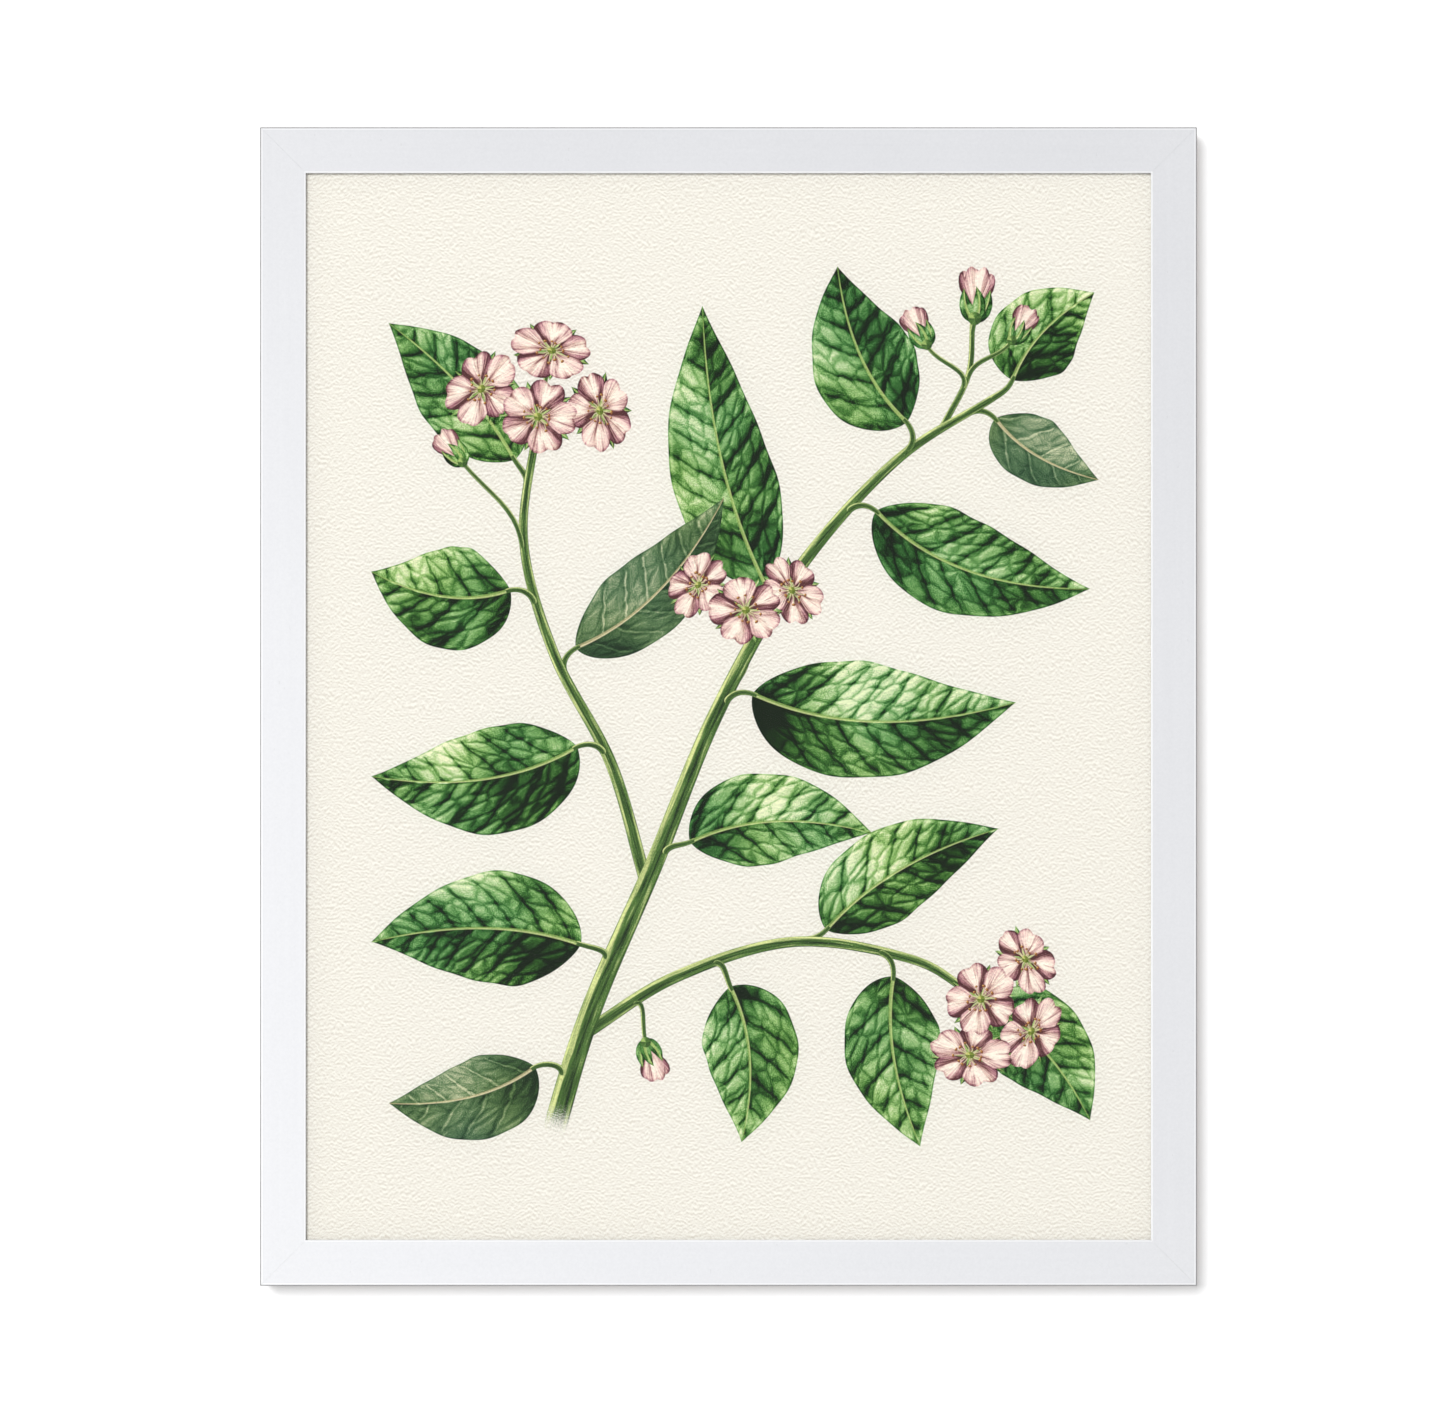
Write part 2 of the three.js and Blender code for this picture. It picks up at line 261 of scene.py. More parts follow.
def clear_glass():
    """A pane that lets light straight through, with the faint gloss of a coated front."""
    g = Graph("coated glass")
    smear = g.noise(g.place(), 9.0, 0.0)
    clear = g.node("BsdfTransparent", {"Color": (0.995, 0.997, 0.995, 1.0)})
    gloss = g.node("BsdfGlossy", {"Color": (1.0, 1.0, 1.0, 1.0), "Roughness": smear * 0.03 + 0.035})
    fresnel = g.node("Fresnel", {"IOR": 1.12})
    pane = g.node("MixShader", {0: fresnel, 1: clear, 2: gloss})
    g.node_out(pane)
    return g.material


def fibreboard():
    """Bare brown hardboard: matted curly fibres with a few darker chips."""
    g = Graph("brown fibreboard")
    place = g.place()
    x, y, z = g.parts(place)
    warp = g.noise(place, 210.0, 2.0) * (5 * MM)

    def strands(scale, layer):
        # a strand lies where the noise crosses its middle value
        wander = g.noise(g.vector(x + warp, y + layer, z - warp), scale, 1.0)
        return g.step(abs(wander - 0.5), 0.045, 0.0)

    felt = g.noise(place, 1500.0, 3.0, 0.7)
    fibres = strands(330.0, 0.1) * 0.6 + strands(470.0, 0.3) * 0.4
    chips = g.step(g.noise(place, 520.0, 2.0, 0.6), 0.63, 0.70)
    cloud = g.noise(place, 12.0, 2.0)
    tone = 0.15 + felt * 0.55 + fibres * 0.16 + cloud * 0.14 - chips * 0.16
    colour = g.ramp(tone, [(0.25, srgb(92, 62, 38)), (0.5, srgb(140, 102, 66)),
                           (0.75, srgb(178, 138, 96))])
    return g.finish(colour, 0.78 + felt * 0.12, g.bump(felt * 0.6 + fibres * 0.5, 0.12 * MM, 0.6))


def plated_steel(name, colour, dull):
    """Plated sheet steel with drawing lines, handling marks and a little tarnish."""
    g = Graph(name)
    place = g.place()
    x, y, z = g.parts(place)
    lines = g.noise(g.vector(x * 500.0, y * 9000.0, z * 9000.0), 1.0, 2.0)
    marks = g.noise(place, 700.0, 4.0, 0.7)
    tarnish = g.step(g.noise(place, 160.0, 3.0), 0.5, 0.75)
    base = g.mix(tarnish * 0.5, colour, dull)
    return g.finish(base, 0.26 + lines * 0.08 + marks * 0.12 + tarnish * 0.1,
                    g.bump(lines * 0.5 + marks * 0.5, 0.02 * MM, 0.5), Metallic=1.0)


def bumper_rubber():
    g = Graph("bumper rubber")
    place = g.place()
    dust = g.noise(place, 900.0, 3.0)
    colour = g.mix(dust * 0.5, srgb(186, 188, 182), srgb(160, 160, 152))
    return g.finish(colour, 0.42 + dust * 0.2, g.bump(dust, 0.02 * MM, 0.4),
                    Subsurface_Weight=0.3, Subsurface_Scale=0.002)


# ---- Paper and inks ----------------------------------------------------------------------------

PAPER_LOW = srgb(221, 215, 204)
PAPER_HIGH = srgb(249, 246, 238)
PAPER_RELIEF = 0.10 * MM
RIPPLES_ACROSS, RIPPLES_UP = 640.0, 980.0  # per metre: they are short and run mostly level
EMBOSS_REACH = 0.44 * MM  # how far above and below a place its light and shade are taken from
INK_SHADED = (0.72, 0.72, 0.72, 1.0)  # what the grain's light and shade make of an ink
INK_LIT = (1.28, 1.28, 1.28, 1.0)

# The bare sheet's colour, its height, the light and shade on its ripples, and its fine tooth.
Grain = namedtuple("Grain", "sheet height emboss tooth")


def paper_grain(g):
    """The grain of cold-pressed paper."""
    x, _, z = g.parts(g.place())
    flat = g.vector(x, z)
    drift = g.flat_noise(flat, 75.0) * (4 * MM)

    def height(shift):
        return g.flat_noise(g.vector(x * RIPPLES_ACROSS, (z + drift + shift) * RIPPLES_UP))

    low = height(-EMBOSS_REACH)
    emboss = height(EMBOSS_REACH) - low
    tooth = g.flat_noise(flat, 2100.0, 1.0, 0.7)
    # the sheet's colour holds painted light and shade on its ripples
    sheet = g.mix(g.clamp(emboss * 1.5 + tooth * 0.2 + 0.55), PAPER_LOW, PAPER_HIGH)
    return Grain(sheet, low, emboss, tooth)


def matt_paper(g, grain, colour, roughness):
    relief = g.bump(grain.height, PAPER_RELIEF, 0.5)
    return g.finish(colour, roughness, relief, Specular_IOR_Level=0.25)


def art_paper():
    g = Graph("cold-pressed paper")
    grain = paper_grain(g)
    return matt_paper(g, grain, grain.sheet, 0.92)


def on_paper(g, grain, ink, cover=None):
    """An ink laid on the sheet. The painted light and shade of the grain's ripples show through it, its
    tooth stays bare in specks, and it dries matt. Cover runs from 0, no ink, to 1."""
    # painted light and shade of the ripples, multiplied into the ink
    shade = g.clamp(grain.emboss * 0.5 + 0.5)
    lit = g.mix(1.0, ink, g.mix(shade, INK_SHADED, INK_LIT), "MULTIPLY")
    bare = g.step(grain.tooth + grain.emboss * 0.25, 0.30, 0.42) * 0.25
    if cover is not None:
        bare = g.math("MAXIMUM", bare, g.step(cover + grain.tooth * 0.8, 0.55, 0.30))
    return matt_paper(g, grain, g.mix(bare, lit, grain.sheet), 0.88)


LIGHT_ANGLE = math.radians(125)  # where the drawing's own light comes from, round from +X
VEIN_SPACING = 13 * MM
PANEL_LONG, PANEL_WIDE = 9.0 * MM, 6.5 * MM  # one raised panel of the net between the veins
WRINKLE = 2.6 * MM  # the finer net inside a panel


def leaf_ink(name, palette, rib, pale_veins):
    """A drawn leaf, its veins dark or pale on the blade. It reads the leaf's UV maps: shape (s, t), ruler
    (metres along and across) and touch (seed, angle)."""
    g = Graph(name)
    grain = paper_grain(g)
    pencil = grain.tooth
    x, _, z = g.parts(g.place())
    flat = g.vector(x, z)
    s, t = g.uv("shape")
    along, across = g.uv("ruler")
    seed, angle = g.uv("touch")
    light_along = g.math("COSINE", LIGHT_ANGLE - angle)
    light_across = g.math("SINE", LIGHT_ANGLE - angle)
    wobble = g.flat_noise(flat, 150.0) * (3.0 * MM)

    def quilt(shift):
        """Height of the blade between its veins, and the distances to the nearest side vein and net
        line. A shift moves the place that it is read at towards the drawing's light."""
        lengthwise = along + wobble + light_along * shift
        sidewise = across + light_across * shift
        out = abs(sidewise)
        left_half = g.math("GREATER_THAN", sidewise, 0.0)
        lane = lengthwise - out * 0.70 - out * out * 7.0 + left_half * (VEIN_SPACING / 2)
        vein = g.math("PINGPONG", lane + seed * 0.01, VEIN_SPACING / 2)
        net = g.cells(g.vector(lane / PANEL_LONG,
                               (out + wobble) / PANEL_WIDE + left_half * 7.0 + seed * 9.0))
        dome = g.step(vein, 0.0, 4.2 * MM) * 0.55 + g.step(net, 0.0, 0.30) * 0.45
        return dome, vein, net * PANEL_WIDE

    dome, vein, net = quilt(0.0)
    lee, _, _ = quilt(0.8 * MM)
    relief = dome - lee
    wrinkle = g.cells(g.vector((along + wobble) / WRINKLE, (across - wobble) / WRINKLE + seed * 9.0))

    rim = abs(across) / g.math("MAXIMUM", abs(t), 0.02) - abs(across)
    rib_width = (1.0 - s) * (0.8 * MM) + 0.30 * MM
    on_rib = g.step(abs(across), rib_width, rib_width * 0.55)
    beside_rib = g.step(abs(across), rib_width + 2.2 * MM, rib_width)
    on_vein = g.step(vein, 1.20 * MM, 0.10 * MM) * g.step(rim, 0.8 * MM, 3.0 * MM)
    on_net = g.step(net, 0.60 * MM, 0.05 * MM)
    on_wrinkle = g.step(wrinkle, 0.16, 0.0)

    side = g.math("SIGN", across) * light_across
    wash = g.flat_noise(flat, 26.0, 2.0)
    margin = g.step(rim, 2.8 * MM, 1.4 * MM) * 0.10 - g.step(rim, 1.0 * MM, 0.3 * MM) * 0.20
    lean = side * 0.17 - g.step(s, 0.34, 0.0) * 0.32 - g.step(s, 0.72, 1.0) * 0.06
    tone = 0.46 + (dome - 0.5) * 0.32 + relief * 0.52 + lean + wash * 1.2 + margin - beside_rib * 0.10
    if pale_veins:
        tone = tone * 0.8 + on_vein * 0.34 + on_net * 0.10
    else:
        tone = tone - on_vein * 0.26 - on_net * 0.07 - on_wrinkle * 0.06
    tone = g.clamp(tone + pencil * 0.75)

    warmth = g.clamp(0.45 + g.flat_noise(flat, 19.0) * 2.6 + g.math("FRACT", seed * 7.3) * 0.5 - 0.25)
    ink = g.mix(warmth, g.ramp(tone, palette[0]), g.ramp(tone, palette[1]))
    rib_tone = g.clamp(pencil * 1.2 + 0.55 - g.step(s, 0.8, 1.0) * 0.4 - side * 0.25)
    return on_paper(g, grain, g.mix(on_rib * 0.85, ink, g.ramp(rib_tone, rib)))


# Ink colours from dark to light. A leaf is a mix of a cool row and a warm one.
FACE_COOL = [(0.0, srgb(0, 20, 0)), (0.2, srgb(12, 56, 12)), (0.42, srgb(52, 114, 48)),
             (0.66, srgb(124, 176, 104)), (1.0, srgb(232, 240, 198))]
FACE_WARM = [(0.0, srgb(2, 24, 0)), (0.2, srgb(24, 66, 12)), (0.42, srgb(76, 132, 50)),
             (0.66, srgb(160, 198, 116)), (1.0, srgb(246, 245, 208))]
BACK_COOL = [(0.0, srgb(16, 40, 24)), (0.3, srgb(44, 78, 50)), (0.6, srgb(92, 126, 86)),
             (1.0, srgb(212, 214, 178))]
BACK_WARM = [(0.0, srgb(22, 44, 20)), (0.3, srgb(58, 90, 46)), (0.6, srgb(116, 144, 88)),
             (1.0, srgb(228, 222, 180))]
RIB_LIGHT = [(0.0, srgb(78, 122, 52)), (0.5, srgb(160, 190, 100)), (1.0, srgb(228, 230, 168))]
RIB_PALE = [(0.0, srgb(142, 132, 90)), (0.5, srgb(204, 192, 146)), (1.0, srgb(238, 226, 190))]

PETAL_CREAM = [(0.0, srgb(86, 48, 48)), (0.3, srgb(168, 120, 116)),
               (0.6, srgb(228, 196, 182)), (1.0, srgb(255, 248, 232))]
PETAL_MAUVE = [(0.0, srgb(78, 38, 48)), (0.3, srgb(150, 92, 106)),
               (0.6, srgb(208, 156, 160)), (1.0, srgb(252, 226, 214))]
PETAL_THROAT = [(0.0, srgb(92, 108, 44)), (1.0, srgb(206, 206, 120))]


def petal_ink():
    """Cream petals with a mauve blush and streaks, in shade where the next petal lies over them."""
    g = Graph("petal ink")
    grain = paper_grain(g)
    pencil = grain.tooth
    s, t = g.uv("shape")
    lap_low, lap_high = g.uv("ruler")
    seed, _ = g.uv("touch")
    streak = g.flat_noise(g.vector(t * 12.0 + seed * 31.0, s * 1.2), 1.0, 3.0, 0.7)
    fold = g.flat_noise(g.vector(t * 2.4 + seed * 17.0, s * 1.3), 1.0, 1.0)
    lapped = g.step(t, -0.15, -0.95) * lap_low + g.step(t, 0.15, 0.95) * lap_high
    rim = g.math("MAXIMUM", abs(t), s)
    ridge = g.step(abs(t + fold), 0.55, 0.0) * g.step(s, 0.25, 0.6)
    tone = (0.74 + ridge * 0.24 + streak * 1.3 + fold * 1.5 + pencil * 0.6 - lapped * 0.80
            - g.step(s, 0.62, 0.10) * 0.62 - g.step(rim, 0.90, 0.99) * 0.36)
    blush = g.clamp(g.step(s, 0.30, 0.95) * 0.60 + fold * 1.6 - streak * 0.9 - ridge * 0.5 + 0.20)
    tone = g.clamp(tone)
    cream = g.ramp(tone, PETAL_CREAM)
    mauve = g.ramp(tone, PETAL_MAUVE)
    throat = g.ramp(g.clamp(streak + 0.5), PETAL_THROAT)
    ink = g.mix(g.step(s, 0.24, 0.08) * 0.85, g.mix(blush, cream, mauve), throat)
    return on_paper(g, grain, ink)


FADE_LENGTH = 45 * MM


def stroke_ink(name, dark, middle, light, fades=False):
    """Stems, stalks and filaments: a rounded stroke, light on both rims and most on its lit one. One that
    fades starts as specks on the bare paper."""
    g = Graph(name)
    grain = paper_grain(g)
    _, t = g.uv("shape")
    along, _ = g.uv("ruler")
    _, angle = g.uv("touch")
    facing = g.math("SINE", LIGHT_ANGLE - angle)
    lines = g.flat_noise(g.vector(along * 45.0, t * 3.2), 1.0, 2.0, 0.6)
    tone = (0.24 + t * facing * 0.34 + g.step(abs(t), 0.20, 0.75) * 0.46 + lines * 1.3
            + grain.tooth * 0.6 - g.step(abs(t), 0.86, 1.0) * 0.45)
    ink = g.ramp(g.clamp(tone), [(0.0, dark), (0.5, middle), (1.0, light)])
    return on_paper(g, grain, ink, g.step(along, 0.0, FADE_LENGTH) if fades else None)


# ---- The drawing -------------------------------------------------------------------------------
# Everything drawn is a flat shape that lies just off the sheet. Places are millimetres from the middle of
# the sheet, x to the right and z up; a level lies over the ones below it.

LEVEL_STEP = 0.0065 * MM
FIRST_LEVEL = 0.010 * MM
CELL = 4.0  # how finely the drawing remembers what lies where
DISC_TURNS = 72  # directions in which a round place is marked as taken
# rows and columns of each shape's mesh; a stroke's rows depend on its length
BLADE_GRID = (64, 16)
SEPAL_GRID = (20, 6)
PETAL_GRID = (16, 14)
DISC_GRID = (4, 12)
STROKE_COLUMNS = 4
STEM_ROWS, STALK_ROWS, HEAD_STALK_ROWS, FILAMENT_ROWS = 90, 14, 10, 4


class Canvas:
    """Remembers how many levels lie over each part of the sheet."""

    def __init__(self):
        self.tops = {}

    def claim(self, places, layers=1):
        """The first free level over these places, which then hold that many more."""
        cells = {(round(x / CELL) + i, round(z / CELL) + j)
                 for x, z in places for i in (-1, 0, 1) for j in (-1, 0, 1)}
        first = 1 + max(self.tops.get(cell, 0) for cell in cells)
        self.tops.update(dict.fromkeys(cells, first + layers - 1))
        return first

    def claim_disc(self, centre, radius, layers):
        rings = [ring * CELL for ring in range(int(radius / CELL) + 2)]
        turns = [i * math.tau / DISC_TURNS for i in range(DISC_TURNS)]
        return self.claim([(centre[0] + math.cos(turn) * ring, centre[1] + math.sin(turn) * ring)
                           for ring in rings for turn in turns], layers)


class Drawing:
    """Collects flat shapes into one mesh with the UV maps that the inks read."""

    def __init__(self, canvas):
        self.canvas = canvas
        self.vertices = []
        self.faces = []
        self.inks = []
        self.maps = {"shape": [], "ruler": [], "touch": []}

    def grid(self, point, rows, columns, level, ink, ruler, touch):
        """A sheet of (rows + 1) by (columns + 1) points: point(s, t) in mm, s from 0 to 1 and t from -1
        to 1. Where no level is given, it lies over all that is there."""
        first = len(self.vertices)
        # rows lie closer together at both ends, where outlines turn fastest
        steps = [((1 - math.cos(math.pi * i / rows)) / 2, 2 * j / columns - 1)
                 for i in range(rows + 1) for j in range(columns + 1)]
        places = [point(s, t) for s, t in steps]
        if level is None:
            level = self.canvas.claim(places)
        y = SHEET_FRONT_Y - FIRST_LEVEL - level * LEVEL_STEP
        self.vertices += [(x * MM, y, MIDDLE_Z + z * MM) for x, z in places]
        self.maps["shape"] += steps
        self.maps["ruler"] += [ruler(s, t) for s, t in steps]
        self.maps["touch"] += [touch] * len(steps)
        width = columns + 1
        for i in range(rows):
            for j in range(columns):
                a = first + i * width + j
                self.faces.append((a, a + 1, a + width + 1, a + width))
                self.inks.append(ink)

    def piece(self, name, inks):
        mesh = bpy.data.meshes.new(name)
        mesh.from_pydata(self.vertices, [], self.faces)
        for label, values in self.maps.items():
            layer = mesh.uv_layers.new(name=label)
            for loop in mesh.loops:
                layer.data[loop.index].uv = values[loop.vertex_index]
        names = list(dict.fromkeys(self.inks))
        for ink in names:
            mesh.materials.append(inks[ink])
        for polygon, ink in zip(mesh.polygons, self.inks):
            polygon.material_index = names.index(ink)
        # every shape faces the viewer, whichever way it was drawn
        mesh.update()
        for polygon in mesh.polygons:
            if polygon.normal.y > 0:
                polygon.flip()
        mesh.update()
        piece = bpy.data.objects.new(name, mesh)
        bpy.context.scene.collection.objects.link(piece)
        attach(piece, BODY)


def smooth_curve(points):
    """A curve through the points (a Catmull-Rom spline), as place(f) and heading(f) for f from 0 to 1."""
    knots = [Vector(p) for p in points]
    ends = [2 * knots[0] - knots[1]] + knots + [2 * knots[-1] - knots[-2]]
    spans = len(knots) - 1

    def place(f):
        k = min(int(f * spans), spans - 1)
        u = f * spans - k
        a, b, c, d = ends[k:k + 4]
        return 0.5 * (2 * b + (c - a) * u + (2 * a - 5 * b + 4 * c - d) * u ** 2
                      + (3 * b - a - 3 * c + d) * u ** 3)

    def heading(f):
        h = 0.01
        way = place(min(f + h, 1.0)) - place(max(f - h, 0.0))
        return math.atan2(way.y, way.x)

    return place, heading


def bezier(a, b, c, d):
    """One cubic arc, as place(f) and heading(f)."""
    def place(f):
        e = 1 - f
        return a * e ** 3 + b * (3 * e * e * f) + c * (3 * e * f * f) + d * f ** 3

    def heading(f):
        e = 1 - f
        way = (b - a) * (e * e) + (c - b) * (2 * e * f) + (d - c) * (f * f)
        return math.atan2(way.y, way.x)

    return place, heading


def towards(angle):
    return Vector((math.cos(angle), math.sin(angle)))


def left_of(angle):
    return towards(angle + math.pi / 2)


ROUNDNESS = 0.9  # of a stroke's start; at 1 its first row would have no width


def draw_stroke(drawing, curve, widths, ink, rows, level=None):
    """A stroke along a curve, with a round start, tapering from one width to the other."""
    place, heading = curve
    samples = 20
    length = sum((place((i + 1) / samples) - place(i / samples)).length for i in range(samples))

    def half(f):
        short = max(1 - f * length / (widths[0] / 2), 0)
        return (widths[0] + (widths[1] - widths[0]) * f) / 2 * math.sqrt(1 - ROUNDNESS * short ** 2)

    drawing.grid(lambda s, t: place(s) + left_of(heading(s)) * t * half(s), rows, STROKE_COLUMNS,
                 level, ink, lambda s, t: (s * length * MM, t * half(s) * MM), (0.0, heading(0.5)))


def draw_leaf(drawing, base, tip, width, bend, seed, ink="leaf_face", narrow=1.0, level=None,
              size=BLADE_GRID):
    """A blade from base to tip. bend bows its rib to the left of the way it points, and narrow
    foreshortens its right half. Returns the way the rib sets out."""
    base, tip = Vector(base), Vector(tip)
    span = tip - base
    length = span.length
    bow = left_of(math.atan2(span.y, span.x)) * length * bend
    place, heading = bezier(base, base + span * 0.33 + bow * 1.4, base + span * 0.68 + bow, tip)
    rise, fall = 0.66, 1.12  # how full the blade is towards its base and its tip
    peak = (rise / (rise + fall)) ** rise * (fall / (rise + fall)) ** fall

    def half(s):
        return width / 2 * (s ** rise * (1 - s) ** fall) / peak

    def wave(s, t):
        # a slightly uneven edge
        phase = seed * 40 + (2.3 if t > 0 else 0.0)
        return 1 + abs(t) * (0.022 * math.sin(11 * s + phase) + 0.013 * math.sin(27 * s + phase * 1.7))

    def edge(s, t):
        return t * half(s) * wave(s, t) * (narrow if t < 0 else 1.0)

    drawing.grid(lambda s, t: place(s) + left_of(heading(s)) * edge(s, t), *size, level, ink,
                 lambda s, t: (s * length * MM, t * half(s) * MM), (seed, math.atan2(span.y, span.x)))
    return heading(0.0)


def draw_petal(drawing, centre, angle, reach, spread, laps, level, squash, rng):
    """A broad petal from the bloom's centre, notched at its end. laps says how far each side lies under
    its neighbour."""
    notch, lobe = rng.uniform(0.05, 0.11), rng.uniform(6.3, 7.7)
    phase, seed = rng.uniform(0, 6), rng.random()

    def point(s, t):
        fan = spread * (0.30 + 0.70 * math.sin(min(s * 1.25, 1.0) * math.pi / 2))
        end = reach * (1 - 0.30 * abs(t) ** 3.2 - notch * math.exp(-(t / 0.16) ** 2)
                       + 0.018 * math.sin(lobe * t + phase))
        return centre + squash @ towards(angle + t * fan) * (s * end)

    drawing.grid(point, *PETAL_GRID, level, "petal", lambda s, t: laps, (seed, 0.0))


def squashed(direction, ratio):
    """A flat disc seen at a slant: narrowed to ratio along direction."""
    turn = Matrix.Rotation(direction, 2)
    return turn @ Matrix(((ratio, 0), (0, 1))) @ turn.transposed()


# The level of each of a blossom's petals above its lowest petal, and how far its two sides lie under its
# neighbours.
PETALS = [(0, (1, 1)), (1, (0, 0)), (0, (1, 1)), (1, (0, 1)), (2, (0, 0))]
# A blossom's layers from the sheet up: sepals, petals on three levels, filaments, then heart and anthers.
SEPAL_LAYER, PETAL_LAYER, FILAMENT_LAYER, HEART_LAYER, BLOSSOM_LAYERS = 0, 1, 4, 5, 6
STAMENS = 13
FILAMENT_WIDTHS = (0.5, 0.35)


def draw_blossom(drawing, centre, radius, facing, slant, rng):
    """An open five-petalled blossom with its sepals and stamens."""
    centre = Vector(centre)
    level = drawing.canvas.claim_disc(centre, radius, BLOSSOM_LAYERS)
    squash = squashed(facing, slant)
    start = rng.uniform(0, math.tau)
    for i, (lift, laps) in enumerate(PETALS):
        angle = start + i * math.tau / len(PETALS)
        sepal = angle + math.pi / len(PETALS)
        tip = centre + squash @ towards(sepal) * radius * 0.98
        draw_leaf(drawing, centre, tip, radius * 0.34, 0.03, rng.random(), level=level + SEPAL_LAYER,
                  size=SEPAL_GRID)
        reach = radius * rng.uniform(0.94, 1.04)
        spread = math.radians(rng.uniform(37, 41))
        draw_petal(drawing, centre, angle, reach, spread, laps, level + PETAL_LAYER + lift, squash, rng)
    heart = radius * 0.11
    draw_disc(drawing, centre, heart, squash, level + HEART_LAYER, "heart")
    for i in range(STAMENS):
        angle = start + (i + rng.uniform(-0.25, 0.25)) * math.tau / STAMENS
        reach = radius * rng.uniform(0.26, 0.44)
        out = squash @ towards(angle)
        head = centre + out * reach
        bow = left_of(angle) * reach * rng.uniform(-0.12, 0.12)
        filament = smooth_curve([centre + out * heart * 0.8, centre + out * reach * 0.55 + bow, head])
        draw_stroke(drawing, filament, FILAMENT_WIDTHS, "filament", FILAMENT_ROWS, level + FILAMENT_LAYER)
        anther = rng.uniform(0.65, 0.95)
        draw_disc(drawing, head, anther, squashed(angle, 0.7), level + HEART_LAYER, "anther")


def draw_disc(drawing, centre, radius, squash, level, ink):
    def point(s, t):
        return Vector(centre) + squash @ towards(t * math.pi) * radius * s
    drawing.grid(point, *DISC_GRID, level, ink, lambda s, t: (s * radius * MM, t * radius * MM),
                 (0.0, 0.0))


def draw_bud(drawing, base, angle, length, rng):
    """A closed bud: furled petals above a green cup and its sepals."""
    base = Vector(base)
    petals = ((-0.16, 0.92, (1, 0)), (0.17, 0.95, (0, 1)), (0.0, 1.0, (0, 0)))  # turn, size, laps
    sepals = ((-0.42, -0.12), (0.40, 0.12), (0.02, -0.12))  # turn, bend
    spread = math.radians(21)
    plain = squashed(0.0, 1.0)
    level = drawing.canvas.claim_disc(base + towards(angle) * length / 2, length * 0.6,
                                      len(petals) + len(sepals) + 1)
    for turn, size, laps in petals:
        draw_petal(drawing, base, angle + turn, length * size, spread, laps, level, plain, rng)
        level += 1
    foot = base - towards(angle) * length * 0.06
    for turn, bend in sepals:
        tip = base + towards(angle + turn) * length * 0.62
        draw_leaf(drawing, foot, tip, length * 0.26, bend, rng.random(), level=level, size=SEPAL_GRID)
        level += 1
    draw_disc(drawing, base, length * 0.13, plain, level, "cup")


# A stem of the spray: points from its lower end, and its widths at both ends.
Stem = namedtuple("Stem", "points widths")

MAIN_STEM = Stem([(-84, -208), (-64, -142), (-34, -72), (-6, -4), (30, 60), (76, 112), (122, 142)],
                 (11.0, 3.2))
LEFT_BRANCH = Stem([(-38, -80), (-54, -26), (-80, 24), (-94, 76), (-88, 128)], (6.0, 3.6))
RIGHT_BRANCH = Stem([(-66, -150), (-24, -124), (30, -108), (84, -116), (112, -132)], (6.0, 3.6))
CENTRE_STALK = Stem([(-2, 4), (8, 20), (8, 40)], (3.4, 3.0))
TOP_STALK = Stem([(98, 128), (110, 152), (112, 176)], (3.0, 2.4))
STEMS = [LEFT_BRANCH, RIGHT_BRANCH, CENTRE_STALK, TOP_STALK, MAIN_STEM]  # the lowest first

# stem, place along it, tip of the leaf, its width and bend, its right half's narrowing, ink
LEAVES_BEHIND = [
    (MAIN_STEM, 0.62, (-12, 184), 50, 0.06, 0.9, "leaf_face"),
    (LEFT_BRANCH, 0.46, (-2, 96), 40, -0.10, 0.85, "leaf_back"),
    (LEFT_BRANCH, 0.88, (-156, 176), 46, -0.06, 0.9, "leaf_face"),
    (RIGHT_BRANCH, 0.52, (124, -56), 44, 0.08, 0.9, "leaf_face"),
    (RIGHT_BRANCH, 0.97, (166, -190), 46, 0.10, 0.9, "leaf_face"),
    (MAIN_STEM, 0.96, (170, 104), 34, -0.10, 0.8, "leaf_back"),
]
LEAVES_IN_FRONT = [
    (MAIN_STEM, 0.10, (-156, -182), 42, 0.10, 0.80, "leaf_back"),
    (MAIN_STEM, 0.23, (-164, -108), 52, -0.08, 1.0, "leaf_face"),
    (MAIN_STEM, 0.35, (66, -58), 46, 0.10, 0.85, "leaf_face"),
    (MAIN_STEM, 0.52, (132, 2), 54, -0.10, 1.0, "leaf_face"),
    (MAIN_STEM, 0.76, (166, 54), 48, -0.12, 0.9, "leaf_face"),
    (MAIN_STEM, 0.86, (50, 202), 48, 0.10, 1.0, "leaf_face"),
    (MAIN_STEM, 1.0, (168, 190), 42, 0.10, 0.9, "leaf_face"),
    (LEFT_BRANCH, 0.28, (-164, -32), 52, 0.10, 0.9, "leaf_face"),
    (LEFT_BRANCH, 0.62, (-164, 62), 48, 0.12, 1.0, "leaf_face"),
    (RIGHT_BRANCH, 0.34, (6, -200), 46, 0.10, 0.9, "leaf_face"),
    (RIGHT_BRANCH, 0.68, (88, -202), 44, -0.08, 1.0, "leaf_face"),
]
LEAF_STALK = 13  # how far a blade starts from its stem
LEAF_STALK_WIDTHS = (3.2, 2.1)
HEAD_STALK_WIDTHS = (2.6, 1.9)
BUD_STALK_WIDTHS = (2.4, 1.8)
